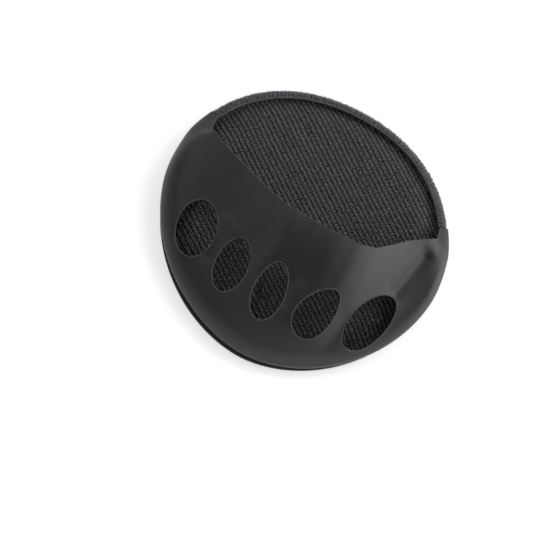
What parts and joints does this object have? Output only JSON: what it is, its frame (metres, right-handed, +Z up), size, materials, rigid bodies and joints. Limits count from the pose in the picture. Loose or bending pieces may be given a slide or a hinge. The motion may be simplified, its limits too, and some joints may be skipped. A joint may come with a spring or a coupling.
{
  "type": "metatarsal pad",
  "caption": "Forefoot half sock pad with a padded sole, a stretch cover over the toes with toe holes, and an overlocked heel edge.",
  "frame": {"origin": "middle of the bounding box in plan, on the surface that the pad lies on", "axes": "+X across the foot to the big toe's side, -Y to the toes, +Z up from the sole"},
  "size_m": [0.1039, 0.1032, 0.0275],
  "materials": {
    "cover_knit": "fine stretch warp knit, slightly lustrous, black",
    "lining_knit": "coarse loop knit, matt, black with grey flecks",
    "binding_thread": "overlock stitches, fuzzy matt thread, black",
    "sole_fabric": "smooth matt knit, black"
  },
  "bodies": {
    "root": {"toe_cover": "cover_knit", "insole_pad": "lining_knit", "edge_binding": "binding_thread", "outsole": "sole_fabric"}
  },
  "joints": []
}
